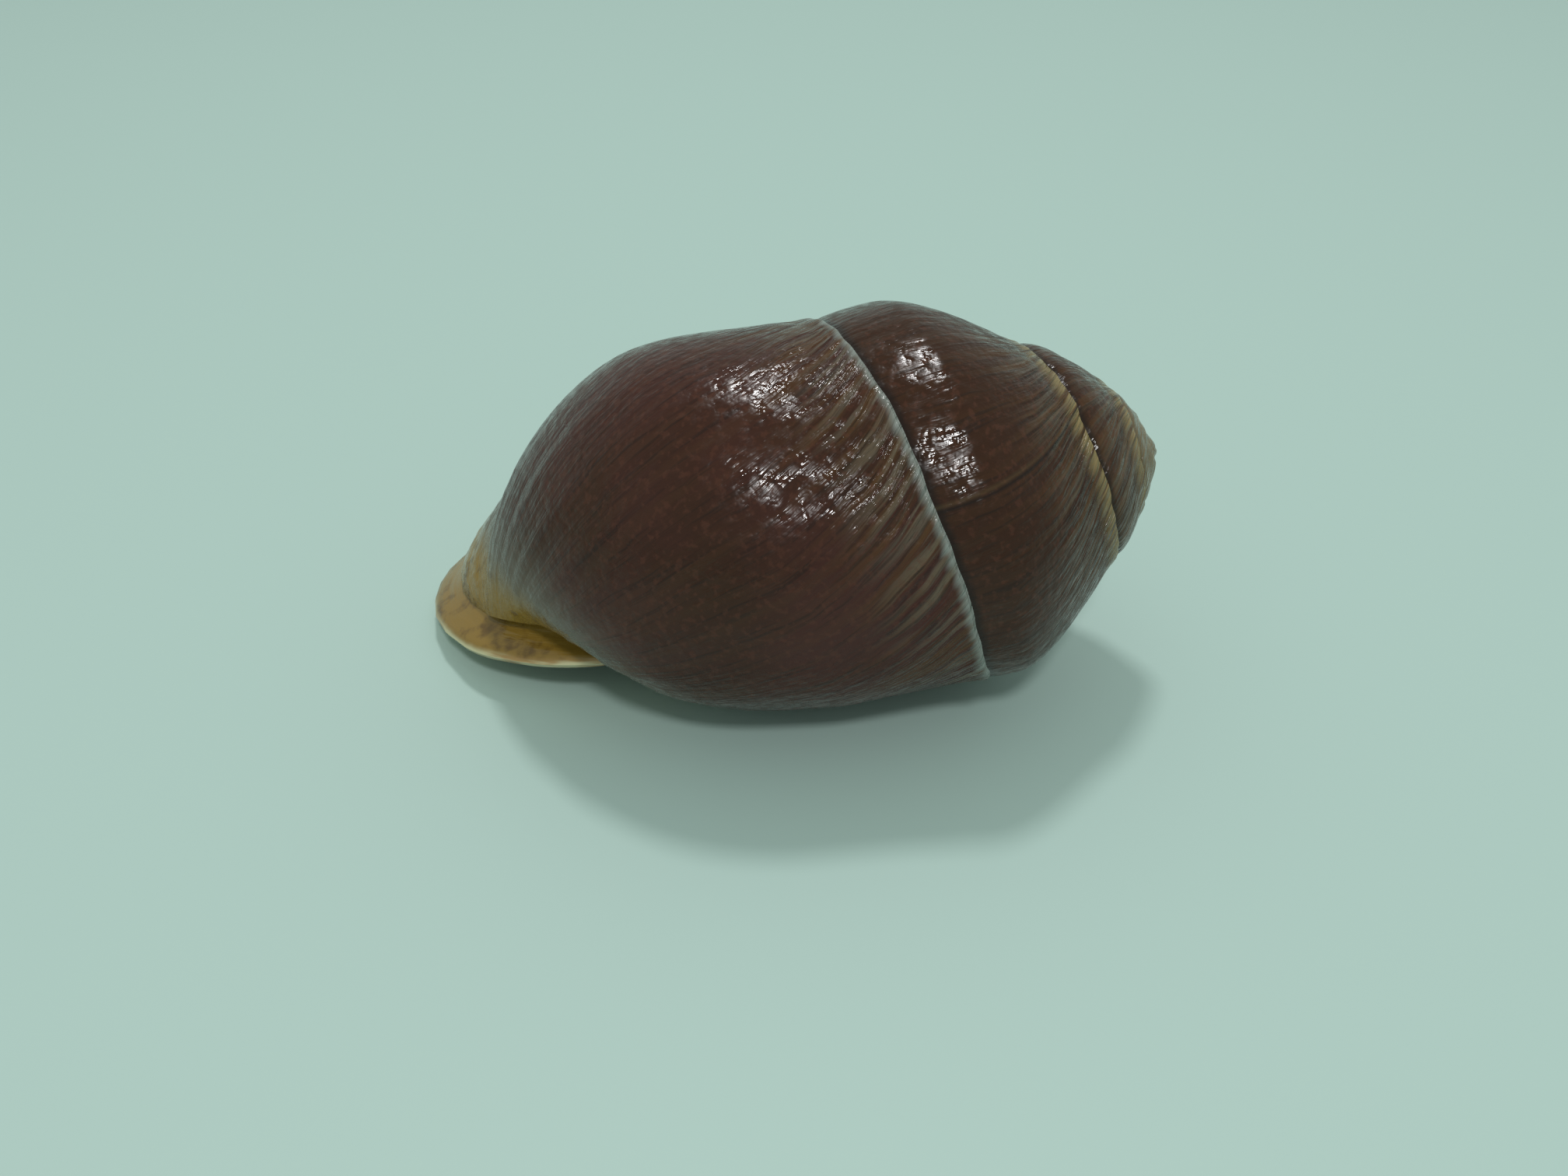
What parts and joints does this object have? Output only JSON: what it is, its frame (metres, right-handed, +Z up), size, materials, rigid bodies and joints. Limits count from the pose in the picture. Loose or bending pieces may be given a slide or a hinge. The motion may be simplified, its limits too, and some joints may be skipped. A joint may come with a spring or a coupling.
{
  "type": "land snail shell",
  "caption": "Empty spiral shell of a land snail with a low domed spire and a broad flared lip round its mouth.",
  "frame": {"origin": "centre of the outline, at the height of the ground the shell lies on", "axes": "+X towards the spire's tip, +Y towards the outer side of the lip, +Z up"},
  "size_m": [0.0522, 0.0344, 0.0271],
  "materials": {
    "shell": "glossy"
  },
  "bodies": {
    "root": {"shell": "shell"}
  },
  "joints": []
}
